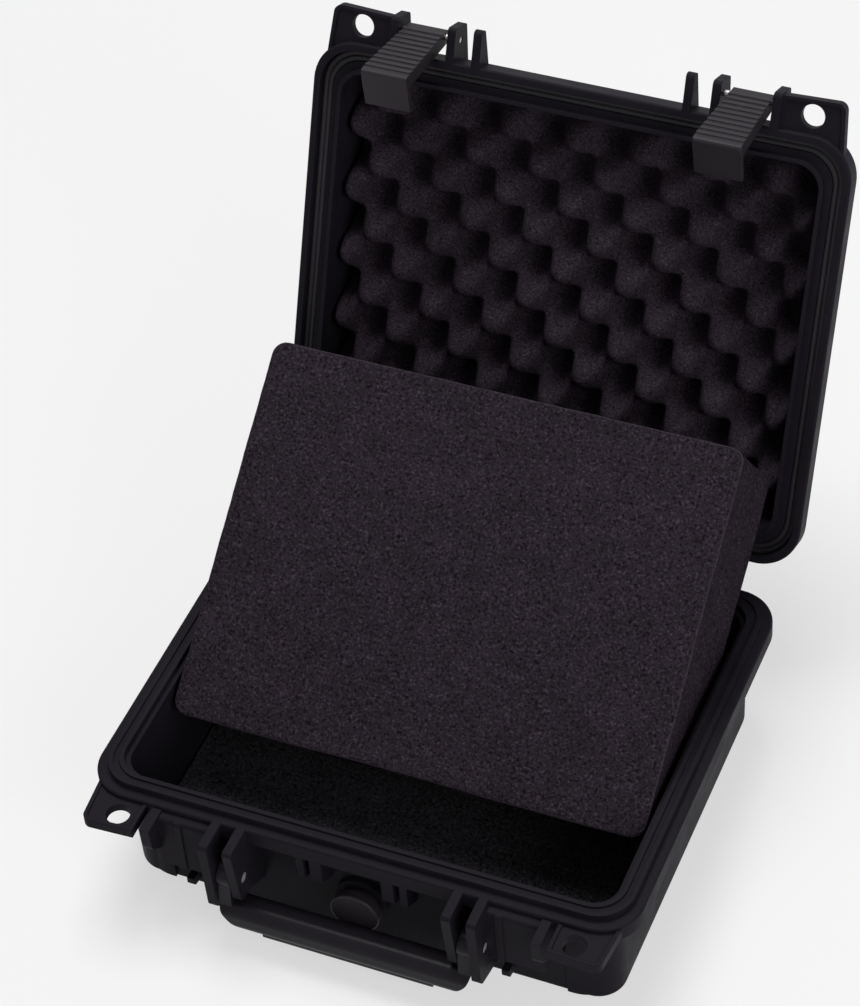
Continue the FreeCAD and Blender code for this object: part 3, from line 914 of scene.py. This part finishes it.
@dataclass(frozen=True)
class SoftLamp:
    """One square soft lamp."""

    name: str
    place: Place
    size: float
    power: float

    def hang(self, target: Place) -> None:
        """Put the lamp in the scene.

        Args:
            target: The point that it shines at.
        """
        data = bpy.data.lights.new(self.name, "AREA")
        data.size = self.size
        data.energy = self.power
        holder = bpy.data.objects.new(self.name, data)
        bpy.context.scene.collection.objects.link(holder)
        look = Vector(target) - Vector(self.place)
        aim = look.to_track_quat("-Z", "Y").to_matrix().to_4x4()
        holder.matrix_world = Matrix.Translation(self.place) @ aim


@dataclass
class Studio:
    """Floor, soft lamps and the camera."""

    camera_place: Place = (0.4472, -0.9031, 1.1932)
    camera_look: Place = (-0.31157, 0.63497, -0.70692)
    camera_roll: float = math.radians(-5.207)
    lens: float = 118.83
    sensor_width: float = 36.0
    clip_start: float = 0.01
    floor_half: float = 6.0
    floor_tone: float = 0.86
    floor_roughness: float = 0.9
    floor_specular: float = 0.1
    floor_glow: float = 0.58
    world_strength: float = 0.2
    lamp_target: Place = (0.0, 0.0, 0.1)
    lamps: tuple[SoftLamp, ...] = (
        SoftLamp("key", (-0.25, 0.45, 2.0), 1.0, 29.0),
        SoftLamp("fill", (1.6, -1.0, 0.95), 1.2, 16.0),
    )

    def camera(self) -> None:
        """Place the camera at the viewing angle and level it with its roll."""
        data = bpy.data.cameras.new("camera")
        data.lens = self.lens
        data.sensor_width = self.sensor_width
        data.clip_start = self.clip_start
        holder = bpy.data.objects.new("camera", data)
        bpy.context.scene.collection.objects.link(holder)
        look = Vector(self.camera_look).normalized()
        level = look.to_track_quat("-Z", "Y").to_matrix().to_4x4()
        rolled = level @ Matrix.Rotation(self.camera_roll, 4, "Z")
        holder.matrix_world = Matrix.Translation(self.camera_place) @ rolled
        bpy.context.scene.camera = holder

    def floor(self) -> None:
        """Lay a plain pale floor that glows to the camera, so that it stays near white there."""
        size = self.floor_half
        points = np.array([(-size, -size, 0), (size, -size, 0), (size, size, 0), (-size, size, 0)])
        floor = put_mesh("floor", points, np.array([[0, 1, 2, 3]]), smooth=False)
        kit = ShaderKit.start("pale_floor")
        kit.shader.inputs["Base Color"].default_value = (self.floor_tone,) * 3 + (1.0,)
        kit.shader.inputs["Roughness"].default_value = self.floor_roughness
        kit.shader.inputs["Specular IOR Level"].default_value = self.floor_specular
        glow = kit.add("ShaderNodeEmission")
        glow.inputs["Strength"].default_value = 1.0
        seen = rays_value(kit.material.node_tree, ("Is Camera Ray", "Is Glossy Ray"))
        mix = kit.add("ShaderNodeMixShader")
        kit.link(kit.scaled(seen, self.floor_glow), mix.inputs["Fac"])
        kit.link(kit.shader.outputs["BSDF"], mix.inputs[1])
        kit.link(glow.outputs["Emission"], mix.inputs[2])
        output = kit.material.node_tree.nodes["Material Output"]
        kit.link(mix.outputs["Shader"], output.inputs["Surface"])
        floor.data.materials.append(kit.material)

    def world(self) -> None:
        """White surroundings, as bright as white paper to the camera and softer as light."""
        world = bpy.data.worlds.new("studio")
        bpy.context.scene.world = world
        world.use_nodes = True
        tree = world.node_tree
        soft = tree.nodes["Background"]
        soft.inputs["Color"].default_value = (1.0, 1.0, 1.0, 1.0)
        soft.inputs["Strength"].default_value = self.world_strength
        bright = tree.nodes.new("ShaderNodeBackground")
        bright.inputs["Strength"].default_value = 1.0
        seen = rays_value(tree, ("Is Camera Ray", "Is Transmission Ray", "Is Glossy Ray"))
        mix = tree.nodes.new("ShaderNodeMixShader")
        tree.links.new(seen, mix.inputs["Fac"])
        tree.links.new(soft.outputs["Background"], mix.inputs[1])
        tree.links.new(bright.outputs["Background"], mix.inputs[2])
        tree.links.new(mix.outputs["Shader"], tree.nodes["World Output"].inputs["Surface"])

    def build(self) -> None:
        """Set up the whole studio."""
        self.camera()
        self.floor()
        self.world()
        for lamp in self.lamps:
            lamp.hang(self.lamp_target)
        bpy.context.scene.view_settings.view_transform = "Standard"


def main() -> None:
    """Build and dress the case, then set the studio."""
    logging.basicConfig(level=logging.INFO, format="%(name)s %(message)s")
    HardParts().dress()
    FoamLining().build()
    Studio().build()


if __name__ == "__main__":
    main()
